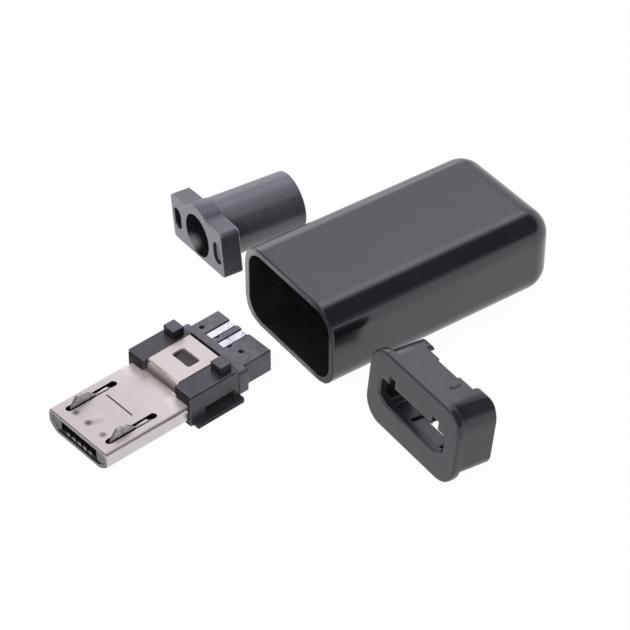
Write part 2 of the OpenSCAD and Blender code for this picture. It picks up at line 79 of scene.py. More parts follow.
# Where the loose pieces lie: gap to the casing, setback from its mouth, heading in degrees
PLUG_GAP = 2.6
PLUG_SHIFT = 0.1
PLUG_YAW = 6.4
BEZEL_GAP = 2.8
BEZEL_BACK = 0.75
BEZEL_YAW = -0.7
RELIEF_GAP = 3.35
RELIEF_BACK = 0.5
RELIEF_YAW = -3.9
# The bezel leans back from its lip onto its body, and the relief rolls onto its tube
LEAN = math.atan(LIP_BASE / (BEZEL_LEN - PLATE_T))
ROLL = math.atan2(FLANGE_W / 2, TUBE_Z) - math.acos(TUBE_R / math.hypot(FLANGE_W / 2, TUBE_Z))


def at(x, y, z, yaw):
    """A place in the row frame, with a heading in degrees."""
    return Matrix.Translation((x, y, z)) @ Matrix.Rotation(math.radians(yaw), 4, "Z")


CASING = Matrix.Identity(4)
PLUG = at(MOUTH_X - PLUG_GAP - PLUG_LEN, PLUG_SHIFT, 0, PLUG_YAW)
BEZEL = (at(MOUTH_X + BEZEL_BACK, -CASING_W / 2 - BEZEL_GAP - PLATE_W / 2, 0, BEZEL_YAW)
         @ Matrix.Translation((0, 0, PLATE_T * math.sin(LEAN))) @ Matrix.Rotation(LEAN, 4, "Y"))
RELIEF = (at(MOUTH_X + RELIEF_BACK, CASING_W / 2 + RELIEF_GAP + FLANGE_W / 2, TUBE_R, RELIEF_YAW)
          @ Matrix.Rotation(-ROLL, 4, "X") @ Matrix.Translation((0, 0, -TUBE_Z)))


# Helpers for materials

class Tree:
    """Short helpers for a node tree. A value is a number, or the output of another node."""

    def __init__(self, tree):
        self.tree = tree

    def node(self, kind, **settings):
        n = self.tree.nodes.new(kind)
        for key, value in settings.items():
            setattr(n, key, value)
        return n

    def put(self, value, socket):
        if isinstance(value, bpy.types.NodeSocket):
            self.tree.links.new(value, socket)
        else:
            socket.default_value = value

    def math(self, operation, a, b, clamp=False):
        n = self.node("ShaderNodeMath", operation=operation, use_clamp=clamp)
        self.put(a, n.inputs[0])
        self.put(b, n.inputs[1])
        return n.outputs["Value"]

    def times(self, a, b):
        return self.math("MULTIPLY", a, b)

    def ramp(self, value, low, high, to_low=0.0, to_high=1.0):
        """A smooth step from one level to another, as the value goes from low to high."""
        n = self.node("ShaderNodeMapRange", interpolation_type="SMOOTHSTEP")
        self.put(value, n.inputs["Value"])
        self.put(low, n.inputs["From Min"])
        self.put(high, n.inputs["From Max"])
        self.put(to_low, n.inputs["To Min"])
        self.put(to_high, n.inputs["To Max"])
        return n.outputs["Result"]


class Shader(Tree):
    """A material on a piece that lies at a place of the row frame."""

    def __init__(self, name, place=CASING):
        self.mat = bpy.data.materials.new(name)
        self.mat.use_nodes = True
        super().__init__(self.mat.node_tree)
        self.bsdf = self.tree.nodes["Principled BSDF"]
        self.place = place
        self.coords = None

    def position(self, stretch=None):
        """Place on the piece in millimetres, along the piece's own axes."""
        if self.coords is None:
            source = self.node("ShaderNodeTexCoord")
            turn = self.node("ShaderNodeMapping", vector_type="TEXTURE")
            self.put(self.place.to_translation() * MM, turn.inputs["Location"])
            self.put(self.place.to_euler(), turn.inputs["Rotation"])
            self.put((MM, MM, MM), turn.inputs["Scale"])
            self.put(source.outputs["Object"], turn.inputs["Vector"])
            self.coords = turn.outputs["Vector"]
        if stretch is None:
            return self.coords
        wide = self.node("ShaderNodeMapping")
        self.put(stretch, wide.inputs["Scale"])
        self.put(self.coords, wide.inputs["Vector"])
        return wide.outputs["Vector"]

    def noise(self, size, detail, roughness=0.55, stretch=None, distortion=0.0):
        n = self.node("ShaderNodeTexNoise")
        self.put(1 / size, n.inputs["Scale"])
        self.put(detail, n.inputs["Detail"])
        self.put(roughness, n.inputs["Roughness"])
        self.put(distortion, n.inputs["Distortion"])
        self.put(self.position(stretch), n.inputs["Vector"])
        return n.outputs["Fac"]

    def mix(self, factor, a, b):
        """From one colour to another, as the factor goes from 0 to 1."""
        n = self.node("ShaderNodeMix", data_type="RGBA")
        self.put(factor, n.inputs["Factor"])
        colours = [socket for socket in n.inputs if socket.type == "RGBA"]
        for value, socket in zip((a, b), colours):
            self.put((*value, 1) if isinstance(value, tuple) else value, socket)
        return next(socket for socket in n.outputs if socket.type == "RGBA")

    def spot(self, centre, inner, outer):
        """1 within the inner radius of a point on the piece, 0 past the outer radius."""
        n = self.node("ShaderNodeVectorMath", operation="DISTANCE")
        self.put(self.position(), n.inputs[0])
        self.put(centre, n.inputs[1])
        return self.ramp(n.outputs["Value"], outer, inner)

    def along(self, axis, start, end):
        """0 before a place on an axis of the piece, 1 past another."""
        n = self.node("ShaderNodeSeparateXYZ")
        self.put(self.position(), n.inputs[0])
        return self.ramp(n.outputs[axis], start, end)

    def stain(self, mask, colour):
        """Lays another colour over the base colour, where the mask is 1."""
        socket = self.bsdf.inputs["Base Color"]
        self.put(self.mix(mask, socket.links[0].from_socket, colour), socket)

    def bump(self, height, depth):
        n = self.node("ShaderNodeBump")
        self.put(depth * MM, n.inputs["Distance"])
        self.put(height, n.inputs["Height"])
        self.set(Normal=n.outputs["Normal"])

    def set(self, **values):
        """Inputs of the surface by name, with _ for a space."""
        for key, value in values.items():
            self.put(value, self.bsdf.inputs[key.replace("_", " ")])


# Tint of the gloss on black plastic
GLOSS_TINT = (0.98, 0.94, 1.0, 1)


def plastic(name, place, dark, light, rough, spec, grain, depth, patch=1.6):
    """Moulded plastic: two close shades in patches, uneven gloss and a fine grain."""
    s = Shader(name, place)
    shade = s.ramp(s.noise(patch, detail=4), low=0.3, high=0.7)
    dull = s.ramp(s.noise(patch / 3, detail=4), low=0.3, high=0.7,
                  to_low=rough * 0.85, to_high=rough * 1.15)
    s.set(Base_Color=s.mix(shade, dark, light), Roughness=dull)
    s.set(Specular_IOR_Level=spec, Specular_Tint=GLOSS_TINT)
    s.bump(s.noise(grain, detail=2, roughness=0.6), depth)
    return s


def metal(name, place, dark, light, rough, depth, run=12.0, streak=0.06):
    """Rolled and plated sheet: fine streaks that run along the sheet, with smudges."""
    s = Shader(name, place)
    streaks = s.noise(streak, detail=3, roughness=0.6, stretch=(1 / run, 1, 1))
    smudge = s.noise(size=1.7, detail=4, roughness=0.6, distortion=0.6)
    shade = s.ramp(smudge, low=0.3, high=0.72)
    fine = s.ramp(streaks, low=0.25, high=0.75, to_low=-0.03, to_high=0.03)
    broad = s.ramp(smudge, low=0.35, high=0.75, to_low=rough, to_high=rough + 0.06)
    s.set(Base_Color=s.mix(shade, light, dark), Metallic=1.0)
    s.set(Roughness=s.math("ADD", fine, broad))
    s.bump(streaks, depth)
    return s


# Materials of the shell

# Metallic level of the dull plating on the nose and in its folds
DULL_METAL = 0.4


def nose_plating():
    """Plating with dark spots in and behind the pressed marks, and painted light that grows paler towards
    the shoulders, lifting their shade on the nose.
    """
    s = metal("plated_steel", PLUG, dark=(0.61, 0.563, 0.508), light=(0.645, 0.596, 0.538),
              rough=0.37, depth=0.0004)
    for centre, radius, strength in (((MARK_X, -1.5, 1.78), 0.42, 0.66),
                                     ((MARK_X, 0.2, 1.78), 0.44, 0.88),
                                     ((MARK_X, 1.7, 1.78), 0.42, 0.8),
                                     ((1.6, 0.0, SHELL_H), 0.42, 0.26),
                                     ((2.0, -0.15, SHELL_H), 0.4, 0.16)):
        s.stain(s.times(s.spot(centre, 0.25 * radius, radius), strength), (0.09, 0.075, 0.07))
    # Painted light: paler towards the riser, and palest beside it in front of the shoulders, against their
    # shade and dark reflection
    s.stain(s.along("X", 4.4, 6.2), (0.71, 0.655, 0.59))
    on_nose = s.along("Z", 2.1, 1.9)
    s.stain(s.times(s.along("X", 6.2, 7.4), on_nose), (0.78, 0.722, 0.65))
    beside_riser = s.math("MAXIMUM", s.along("Y", 1.3, 1.8), s.along("Y", -1.3, -1.8))
    painted_light_by_shoulder = s.times(s.along("X", 6.3, 7.5), s.times(beside_riser, on_nose))
    s.stain(painted_light_by_shoulder, (0.97, 0.905, 0.82))
    s.set(Metallic=DULL_METAL)
    return s.mat


def riser_plating():
    """Bent sheet, bright at the top, with painted shade from its middle down towards its foot and a
    painted reflection in a paler strip just above the bend.
    """
    s = metal("plated_steel_riser", PLUG, dark=(0.62, 0.575, 0.53), light=(0.69, 0.64, 0.59),
              rough=0.26, depth=0.0001)
    # Painted shade down the riser, then a painted reflection in a paler strip just above the bend
    s.stain(s.along("Z", 2.8, 2.1), (0.2, 0.178, 0.165))
    s.stain(s.along("Z", 2.0, 1.9), (0.5, 0.465, 0.43))
    return s.mat


def dark_fold_line_painted():
    """Painted dark reflection in the middle of the rounded upper corners."""
    s = metal("plated_steel_fold", PLUG, dark=(0.32, 0.295, 0.275), light=(0.37, 0.34, 0.32),
              rough=0.37, depth=0.0004)
    s.set(Metallic=DULL_METAL)
    return s.mat


steel = nose_plating()
riser_steel_painted_shade = riser_plating()
fold_painted_reflection = dark_fold_line_painted()
# Painted light: a paler copy of the plating for the sides and for the front face of the nose's top sheet
pale_steel_painted_light = metal("plated_steel_side", PLUG, dark=(0.58, 0.545, 0.535), light=(0.63, 0.595, 0.585),
                   rough=0.2, depth=0.0006).mat
steel_edge = metal("plated_steel_edge", PLUG, dark=(0.53, 0.49, 0.48), light=(0.6, 0.56, 0.55),
                   rough=0.17, depth=0.0004).mat
# Sheared steel on the nose's front faces, darkened further as painted shade
cut_steel_and_painted_shade = metal("sheared_steel", PLUG, dark=(0.14, 0.14, 0.14), light=(0.22, 0.217, 0.214),
                  rough=0.32, depth=0.002, run=0.3, streak=0.05).mat
# Painted shade: near black steel in the mouth, in the latch slots and on the tab's sides
steel_painted_shade = metal("shell_inside_painted_shade", PLUG, dark=(0.05, 0.05, 0.05), light=(0.09, 0.088, 0.085),
                   rough=0.5, depth=0.001).mat
# Dark steel along the scored line, and painted shade along the rounded front edge of the nose's top
dark_line_steel = metal("scored_line", PLUG, dark=(0.15, 0.13, 0.122), light=(0.22, 0.195, 0.183),
               rough=0.45, depth=0.001, run=0.3).mat


# Materials of the latches and contacts

def latch_sheet():
    """Mottled spring steel with slanting lines on the flat, and painted shade below the nose's top."""
    s = metal("spring_steel", PLUG, dark=(0.66, 0.645, 0.6), light=(0.8, 0.78, 0.74),
              rough=0.5, depth=0.0005, run=0.12, streak=0.09)
    s.set(Metallic=0.3)
    mottle = s.ramp(s.noise(size=0.5, detail=3, roughness=0.6), low=0.5, high=0.64)
    s.stain(s.times(mottle, 0.6), (0.26, 0.245, 0.225))
    hatch = s.node("ShaderNodeTexWave", bands_direction="DIAGONAL")
    s.put(3.4, hatch.inputs["Scale"])
    s.put(0.8, hatch.inputs["Distortion"])
    s.put(s.position(), hatch.inputs["Vector"])
    lines = s.ramp(hatch.outputs["Fac"], low=0.15, high=0.6)
    s.stain(s.times(lines, 0.3), (0.3, 0.285, 0.265))
    # Painted shade on the hook below the nose's top, inside the slot
    s.stain(s.along("Z", 1.86, 1.76), (0.02, 0.018, 0.017))
    s.bump(lines, depth=0.006)
    return s.mat


def tinned_pad():
    """Bright tin with dark specks."""
    s = metal("tinned_metal", PLUG, dark=(0.58, 0.58, 0.595), light=(0.72, 0.72, 0.74),
              rough=0.3, depth=0.004, run=1.4, streak=0.2)
    specks = s.ramp(s.noise(size=0.2, detail=2, roughness=0.5), low=0.62, high=0.7)
    s.stain(s.times(specks, 0.7), (0.2, 0.2, 0.21))
    return s.mat


spring = latch_sheet()
spring_edge = metal("spring_edge", PLUG, dark=(0.42, 0.385, 0.38), light=(0.47, 0.43, 0.42),
                    rough=0.24, depth=0.0006).mat
spring_front = metal("spring_front", PLUG, dark=(0.2, 0.188, 0.18), light=(0.27, 0.255, 0.245),
                     rough=0.4, depth=0.0006).mat
tin = tinned_pad()
# Painted shade: a dull grey for the front faces of the contact tips
contact_tip_painted_shade = metal("contact_tip_painted_shade", PLUG, dark=(0.26, 0.255, 0.235), light=(0.36, 0.35, 0.33),
                    rough=0.4, depth=0.001).mat
contact_shade = metal("contact_shade", PLUG, dark=(0.02, 0.02, 0.02), light=(0.04, 0.04, 0.04),
                      rough=0.6, depth=0.001).mat


# Materials of the housing and carrier

def solder_block_top():
    """Pale plastic, with shade in the gap behind the tab."""
    spec = 0.5
    shaded_spec = 0.02
    s = plastic("block_top", PLUG, dark=(0.14, 0.138, 0.15), light=(0.21, 0.207, 0.225),
                rough=0.42, spec=spec, grain=0.13, depth=0.006, patch=0.5)
    across = s.times(s.along("Y", 2.6, 2.3), s.along("Y", -2.2, -1.9))
    gap = s.times(s.along("X", 12.92, 12.8), across)
    s.stain(gap, (0.008, 0.008, 0.009))
    s.set(Specular_IOR_Level=s.ramp(gap, 0, 1, spec, shaded_spec))
    return s.mat


housing_black = plastic("housing_black", PLUG, dark=(0.04, 0.04, 0.044), light=(0.058, 0.058, 0.063),
                        rough=0.36, spec=0.5, grain=0.11, depth=0.003).mat
# Painted highlight: a paler copy of the housing's plastic, for rounded edges and for the tops of the bumps
housing_edge_painted_highlight = plastic("housing_edge_painted_highlight", PLUG, dark=(0.07, 0.07, 0.076), light=(0.1, 0.1, 0.108),
                       rough=0.32, spec=0.55, grain=0.14, depth=0.002).mat
# Painted shade: near black for the front faces of the shoulders
housing_front_painted_shade = plastic("housing_front_painted_shade", PLUG, dark=(0.01, 0.01, 0.011), light=(0.016, 0.016, 0.017),
                        rough=0.5, spec=0.1, grain=0.14, depth=0.003).mat
catch_brown = plastic("catch_brown", PLUG, dark=(0.03, 0.018, 0.016), light=(0.05, 0.032, 0.028),
                      rough=0.22, spec=0.5, grain=0.14, depth=0.001).mat
block_black = plastic("block_black", PLUG, dark=(0.09, 0.088, 0.097), light=(0.14, 0.137, 0.15),
                      rough=0.42, spec=0.5, grain=0.13, depth=0.005).mat
block_top = solder_block_top()
# Black plastic of the tongue, also used as painted shade on the walls of the bumps and on the foot's lip
black_tongue_and_painted_shade = plastic("black_tongue_and_painted_shade", PLUG, dark=(0.006, 0.006, 0.007), light=(0.01, 0.01, 0.011),
                       rough=0.5, spec=0.3, grain=0.13, depth=0.003).mat


# Materials of the casing

def mouth_rim():
    """Cut rim, pale on the relief's side from a painted reflection and dark on the bezel's side from
    painted shade.
    """
    spec = 0.7
    painted_shade_spec = 0.25
    s = plastic("casing_rim", CASING, dark=(0.05, 0.05, 0.054), light=(0.09, 0.089, 0.094),
                rough=0.3, spec=spec, grain=0.16, depth=0.003)
    # Painted reflection on the relief's side, painted shade on the bezel's side
    s.stain(s.along("Y", 3.2, 5.3), (0.24, 0.238, 0.242))
    painted_shade_side = s.along("Y", -2.2, -4.4)
    s.stain(painted_shade_side, (0.015, 0.015, 0.016))
    s.set(Specular_IOR_Level=s.ramp(painted_shade_side, 0, 1, spec, painted_shade_spec))
    return s.mat


casing_gloss = plastic("gloss_black", CASING, dark=(0.008, 0.0075, 0.0095), light=(0.012, 0.0115, 0.014),
                       rough=0.18, spec=0.87, grain=0.12, depth=0.0009, patch=4.0).mat
casing_rim = mouth_rim()
casing_inside = plastic("casing_inside", CASING, dark=(0.014, 0.014, 0.014), light=(0.022, 0.022, 0.022),
                        rough=0.3, spec=0.5, grain=0.3, depth=0.003).mat


# Materials of the bezel

bezel_satin = plastic("bezel_satin", BEZEL, dark=(0.02, 0.019, 0.023), light=(0.028, 0.027, 0.032),
                      rough=0.2, spec=0.6, grain=0.16, depth=0.0008, patch=2.2).mat
bezel_edge = plastic("bezel_edge", BEZEL, dark=(0.024, 0.023, 0.027), light=(0.034, 0.033, 0.038),
                     rough=0.2, spec=0.6, grain=0.2, depth=0.0006, patch=2.2).mat
# Painted light: a paler copy of the bezel's plastic for the body's top
bezel_top_painted_light = plastic("bezel_top_painted_light", BEZEL, dark=(0.05, 0.049, 0.055), light=(0.07, 0.069, 0.076),
                    rough=0.26, spec=0.7, grain=0.2, depth=0.0006, patch=1.2).mat
# Painted highlight: a paler copy of the bezel's plastic for the nib
bezel_nib_painted_highlight = plastic("bezel_nib_painted_highlight", BEZEL, dark=(0.1, 0.098, 0.106), light=(0.15, 0.147, 0.158),
                    rough=0.3, spec=0.6, grain=0.12, depth=0.001, patch=0.5).mat
# Painted shade: a darker copy for the walls of the opening and of the hollow body
bezel_inside_painted_shade = plastic("bezel_inside_painted_shade", BEZEL, dark=(0.008, 0.008, 0.009), light=(0.013, 0.013, 0.014),
                       rough=0.34, spec=0.35, grain=0.2, depth=0.0008).mat


# Materials of the strain relief

def tube_grain():
    """Grained plastic, with a painted highlight in a paler band along the upper flanks of the tube."""
    s = plastic("relief_grain", RELIEF, dark=(0.085, 0.083, 0.091), light=(0.115, 0.112, 0.122),
                rough=0.31, spec=0.95, grain=0.14, depth=0.004, patch=0.4)
    painted_highlight_band = s.times(s.along("Z", 3.4, 3.8), s.along("Z", 4.5, 4.1))
    s.stain(painted_highlight_band, (0.18, 0.176, 0.19))
    return s.mat


def bore_wall():
    """Painted shade on the walls of the bore and of the blind holes, with a painted glint at the lower
    left of the bore's edge.
    """
    s = plastic("relief_hole_painted_shade", RELIEF, dark=(0.014, 0.014, 0.015), light=(0.024, 0.024, 0.026),
                rough=0.26, spec=0.5, grain=0.2, depth=0.006, patch=0.4)
    s.stain(s.spot((0.1, 1.25, 0.7), inner=0.15, outer=1.0), (0.36, 0.355, 0.365))
    return s.mat


relief_grain = tube_grain()
relief_hole_painted_shade = bore_wall()
# Painted highlight: a paler copy of the relief's plastic for its rounded edges
relief_edge_painted_highlight = plastic("relief_edge_painted_highlight", RELIEF, dark=(0.22, 0.216, 0.23), light=(0.34, 0.335, 0.35),
                      rough=0.36, spec=0.55, grain=0.14, depth=0.006, patch=0.3).mat
# Painted highlight along the round at the rear of the flange
relief_rear_edge_painted_highlight = plastic("relief_rear_edge_painted_highlight", RELIEF, dark=(0.45, 0.44, 0.46), light=(0.6, 0.59, 0.61),
                           rough=0.3, spec=0.6, grain=0.14, depth=0.004, patch=0.3).mat
relief_face = plastic("relief_face", RELIEF, dark=(0.19, 0.186, 0.2), light=(0.27, 0.265, 0.28),
                      rough=0.42, spec=0.5, grain=0.15, depth=0.016, patch=0.3).mat
relief_flange = plastic("relief_flange", RELIEF, dark=(0.1, 0.097, 0.108), light=(0.125, 0.122, 0.134),
                        rough=0.33, spec=0.5, grain=0.2, depth=0.004, patch=0.9).mat
relief_shade = plastic("relief_shade", RELIEF, dark=(0.04, 0.039, 0.043), light=(0.085, 0.083, 0.09),
                       rough=0.42, spec=0.4, grain=0.18, depth=0.024, patch=0.2).mat


# Helpers for pieces

# Vertices closer than this are one, and edges shorter than this are dropped
WELD = 0.0008
SHORTEST = 0.0005
# Angles in degrees: neighbouring faces below the first are one flat face, edges below the second
# belong to a curve and are not rounded, and edges below the third shade smoothly
FLAT_ANGLE = 0.25
CURVE_ANGLE = 22
SMOOTH_ANGLE = 40
# Places of a piece's main material and of that of its rounded edges in its list of materials
BASE = 0
EDGE = 1


def weld(bm):
    bmesh.ops.remove_doubles(bm, verts=bm.verts, dist=WELD)
    bmesh.ops.dissolve_degenerate(bm, dist=SHORTEST, edges=bm.edges)


def corners(bm):
    """The edges that are no part of a curve, each with its middle, direction and angle."""
    for e in bm.edges:
        if len(e.link_faces) != 2:
            continue
        angle = math.degrees(e.calc_face_angle_signed(0))
        if abs(angle) >= CURVE_ANGLE:
            a, b = (v.co for v in e.verts)
            yield e, (a + b) / 2, (b - a).normalized(), angle


def soften(node, place, body, base, edge, rounds, paints):
    """A copy of a CAD node with rounded edges, which stands for that node.

    Each round has a test, a width and a number of segments. Its test gets an edge's
    middle and direction in the piece's own millimetres, and its angle in degrees,
    which is negative on an inside corner. Each paint is (test, material), and its
    test gets a face's middle and normal. Later paints lie over earlier ones.
    """
    materials = [base, edge]
    for _test, material in paints:
        if material not in materials:
            materials.append(material)
    bm = bmesh.new()
    bm.from_mesh(nodes_in_frame[node].data)
    bm.transform(place.inverted() @ Matrix.Scale(1 / MM, 4))
    weld(bm)
    bmesh.ops.dissolve_limit(bm, angle_limit=math.radians(FLAT_ANGLE), verts=bm.verts, edges=bm.edges)
    for face in bm.faces:
        face.material_index = BASE
    for r in rounds:
        chosen = [e for e, middle, direction, angle in corners(bm) if r["test"](middle, direction, angle)]
        bmesh.ops.bevel(bm, geom=chosen, offset=r["width"], offset_type="OFFSET", segments=r["segments"],
                        profile=0.5, affect="EDGES", clamp_overlap=False, loop_slide=False,
                        material=EDGE)
    weld(bm)
    bm.normal_update()
    for face in bm.faces:
        face.smooth = True
        for test, material in paints:
            if test(face.calc_center_median(), face.normal):
                face.material_index = materials.index(material)
    for e in bm.edges:
        e.smooth = len(e.link_faces) == 2 and e.calc_face_angle(0) < math.radians(SMOOTH_ANGLE)
    bm.transform(Matrix.Scale(MM, 4) @ place)
    mesh = bpy.data.meshes.new(node + "_dressed")
    bm.to_mesh(mesh)
    bm.free()
    for m in materials:
        mesh.materials.append(m)
    piece = bpy.data.objects.new(node + "_dressed", mesh)
    scene.collection.objects.link(piece)
    # At full weight the large faces keep their own direction, and only the rounded edges shade
    weight = piece.modifiers.new("weight", "WEIGHTED_NORMAL")
    weight.keep_sharp = True
    weight.weight = 100
    shaded = piece.evaluated_get(bpy.context.evaluated_depsgraph_get())
    piece.data = bpy.data.meshes.new_from_object(shaded)
    piece.modifiers.clear()
    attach(piece, body)
    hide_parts(node)


def outside(test):
    """A test for outside corners whose middle passes another test."""
    return lambda p, _d, a: a > 0 and test(p)


def anywhere(_middle):
    return True


def inward(c, n, axis_z):
    """A face that looks towards an axis along X."""
    return c.y * n.y + (c.z - axis_z) * n.z < -0.1


# In the tests below p, d and a are an edge's middle, direction and angle, and c and n are
# a face's middle and normal, all along the piece's own axes

# Casing

def at_mouth(p):
    return p.x < MOUTH_X + 0.1


def at_mouth_outside(p):
    """The outer edge of the rim, within 0.3 of the sleeve's skin."""
    return at_mouth(p) and (abs(p.y) > CASING_W / 2 - 0.3 or abs(p.z - CASING_Z) > CASING_Z - 0.3)


def at_rear_wall(p):
    """The edges of the hole in the rear wall."""
    return p.x > 9


def in_sleeve(c, n):
    return not at_mouth(c) and (inward(c, n, CASING_Z) or n.x < -0.5)


def on_rim(c, n):
    return at_mouth(c) and n.x < -0.3


soften("casing", CASING, "kit", casing_gloss, casing_gloss,
       [dict(test=outside(at_mouth_outside), width=0.14, segments=3),
        dict(test=outside(at_mouth), width=0.06, segments=2),
        dict(test=outside(at_rear_wall), width=0.12, segments=2)],
       [(in_sleeve, casing_inside), (on_rim, casing_rim)])


# Bezel

def on_front(p):
    return p.x < 0.01


def at_opening(p):
    return on_front(p) and abs(p.y) < 4.2 and 1 < p.z < 5.3


def on_nib(p):
    """The small rib on top of the body."""
    return 1.6 < p.x < 2.7 and abs(p.y + 1.9) < 0.2 and p.z > 6.4


def at_nib_end(p):
    return on_nib(p) and p.x > 2.5


def behind_front(p):
    return p.x > 0.1 and not on_nib(p)


def on_body_top(c, n):
    return c.x > 0.8 and n.z > 0.9


def in_bezel(c, n):
    """The walls of the opening and of the hollow body."""
    return c.x > 0.05 and n.z < 0.9 and inward(c, n, PLATE_Z)


soften("bezel", BEZEL, "kit", bezel_satin, bezel_edge,
       [dict(test=outside(at_opening), width=0.03, segments=1),
        dict(test=outside(on_front), width=0.16, segments=3),
        dict(test=outside(at_nib_end), width=0.08, segments=3),
        dict(test=outside(behind_front), width=0.08, segments=2)],
       [(on_body_top, bezel_top_painted_light), (lambda c, _n: on_nib(c), bezel_nib_painted_highlight), (in_bezel, bezel_inside_painted_shade)])


# Strain relief

def from_axis(p):
    return math.hypot(p.y, p.z - TUBE_Z)


def on_collar_end(p):
    """The step from the collar to the tube."""
    return abs(p.x - FLANGE_T) < 0.1 and p.z > 2.2 and from_axis(p) < 2.7


def at_shallow_hole(p):
    """The shallow blind hole on the right of the flange."""
    return p.x < 0.3 and -3.95 < p.y < -2.5 and abs(p.z - TUBE_Z) < 1.1


def on_other_edge(p):
    return not on_collar_end(p) and not at_shallow_hole(p)


def in_relief_hole(c, n):
    """The bore, and the walls of the deep and of the shallow blind hole."""
    in_bore = from_axis(c) < 1.9 and inward(c, n, TUBE_Z)
    in_deep_hole = 0.11 < c.x < 1.3 and 2.6 < c.y < 3.85 and abs(c.z - TUBE_Z) < 0.98
    on_shallow_wall = at_shallow_hole(c) and c.x > 0.002 and n.x > -0.95
    return in_bore or in_deep_hole or on_shallow_wall


def on_right_end(c, n):
    return c.x < FLANGE_T and n.y < -0.8 and c.y < -3.9


def on_flange_face(c, n):
    return c.x < 0.02 and n.x < -0.9


def on_flange_top(c, n):
    return 0.2 < c.x < 1.6 and n.z > 0.1 and c.z > 2.5


def on_shallow_floor(c, n):
    return at_shallow_hole(c) and c.x > 0.2 and n.x < -0.95


def on_rear_edge(c, n):
    """The round along the rear of the flange."""
    return 1.5 < c.x < 1.75 and 0.2 < n.x < 0.95 and from_axis(c) > 2.65


soften("strain_relief", RELIEF, "kit", relief_grain, relief_edge_painted_highlight,
       [dict(test=outside(on_collar_end), width=0.04, segments=2),
        dict(test=outside(at_shallow_hole), width=0.03, segments=1),
        dict(test=outside(on_other_edge), width=0.1, segments=2)],
       [(in_relief_hole, relief_hole_painted_shade), (on_right_end, relief_shade), (on_flange_face, relief_face),
        (on_flange_top, relief_flange), (on_shallow_floor, relief_face), (on_rear_edge, relief_rear_edge_painted_highlight)])


# Plug shell

# Heights of the inner faces of the sheet
MOUTH_BASE = SHEET_T
MOUTH_TOP = SHELL_H - SHEET_T


def at_upper_bend(p, d, a):
    """The bend from the riser to the tab."""
    return a > 0 and abs(p.x - TAB_X) < 0.1 and p.z > 2.9 and abs(d.y) > 0.9


def at_lower_bend(p, d, a):
    """The bend from the nose to the riser, an inside corner."""
    return a < 0 and abs(p.x - RISER_X) < 0.05 and p.z > 1.75 and abs(d.y) > 0.9


def at_lower_corner(p, d, a):
    """The long corners of the sloping lower sides."""
    return a > 0 and abs(d.x) > 0.9 and p.z < 0.6 and abs(p.y) > 2.4


def at_nose_tip(p):
    return p.x < 0.01 and (p.z > 1.75 or abs(p.y) > 3.3)


def off_the_marks(p):
    """All but the three pressed marks and the scored line, which keep their edges."""
    in_mark = abs(p.x - MARK_X) < 0.3 and abs(p.y) < 2
    return p.z < 1.7 or not (in_mark or 4 < p.x < 4.2)


def in_mouth(c, _n):
    return 0.2 < c.x < NOSE_LEN and abs(c.y) < 3.2 and MOUTH_BASE - 0.01 < c.z < MOUTH_TOP + 0.01


def on_sheared_front(c, n):
    return n.x < -0.6 and c.x < 0.2 and c.z < 1.45


def in_scored_line(c, _n):
    return SCORE_X - 0.01 < c.x < SCORE_X + SCORE_W + 0.01 and 1.7 < c.z < 1.795 and abs(c.y) < 1.8


def on_side(c, n):
    return 0.1 < c.x < 8 and abs(n.y) > 0.85 and abs(c.y) > 3.3


def on_riser(c, n):
    return NOSE_LEN < c.x < 8.4 and n.x < -0.1 and c.z > SHELL_H


def on_upper_fold(c, n):
    """The middle of the rounded upper corners."""
    return 0.1 < c.x < 7.6 and 0.55 < n.z < 0.85 and abs(c.y) > 3.25


def in_latch_slot(c, n):
    return 0.8 < c.x < 5.6 and MOUTH_TOP + 0.01 < c.z < 1.76 and abs(n.z) < 0.3 and 2 < abs(c.y) < 2.7


def on_tab_side(c, n):
    return c.x > 8.2 and c.z > 2.7 and abs(n.y) > 0.2 and abs(c.y) > 1.7


def on_tip_round(c, n):
    """The rounded front edge of the nose's top."""
    return c.x < 0.12 and n.x < -0.1 and n.z > 0.45


def on_tip_face(c, n):
    """The front face of the nose's top sheet."""
    return c.x < 0.12 and n.x < -0.6 and n.z < 0.45 and c.z > 1.45


soften("plug_shell", PLUG, "kit", steel, steel_edge,
       [dict(test=at_upper_bend, width=0.2, segments=4),
        dict(test=at_lower_bend, width=0.16, segments=3),
        dict(test=at_lower_corner, width=0.16, segments=3),
        dict(test=outside(at_nose_tip), width=0.1, segments=3),
        dict(test=outside(off_the_marks), width=0.03, segments=2)],
       [(in_mouth, steel_painted_shade), (on_sheared_front, cut_steel_and_painted_shade), (in_scored_line, dark_line_steel),
        (on_side, pale_steel_painted_light), (on_riser, riser_steel_painted_shade), (on_upper_fold, fold_painted_reflection),
        (in_latch_slot, steel_painted_shade), (on_tab_side, steel_painted_shade),
        (on_tip_round, dark_line_steel), (on_tip_face, pale_steel_painted_light)])


# Shoulder housing

def on_catch(c, _n):
    """The catch in the window of the tab."""
    return WINDOW_X < c.x < WINDOW_X + WINDOW_LEN and abs(c.y) < WINDOW_W / 2 and c.z > 2.5


def on_bump_top(c, n):
    return c.z > 3.5 and n.z > 0.9


def on_bump_wall(c, n):
    return c.z > 2.95 and (abs(n.y) > 0.8 or n.x < -0.8)


def on_foot_lip(c, _n):
    return c.z < 0.65 and abs(c.y) > 3.6


def on_shoulder_front(c, n):
    return c.x < 9 and n.x < -0.8 and c.z > 1.5


# The bump tops get painted light, and the bump walls and the foot's lip painted shade in black
soften("shoulder_housing", PLUG, "kit", housing_black, housing_edge_painted_highlight,
       [dict(test=outside(anywhere), width=0.06, segments=2)],
       [(on_catch, catch_brown), (on_bump_top, housing_edge_painted_highlight), (on_bump_wall, black_tongue_and_painted_shade),
        (on_foot_lip, black_tongue_and_painted_shade), (on_shoulder_front, housing_front_painted_shade)])


# Contact carrier and contacts

CONTACT_COUNT = 5


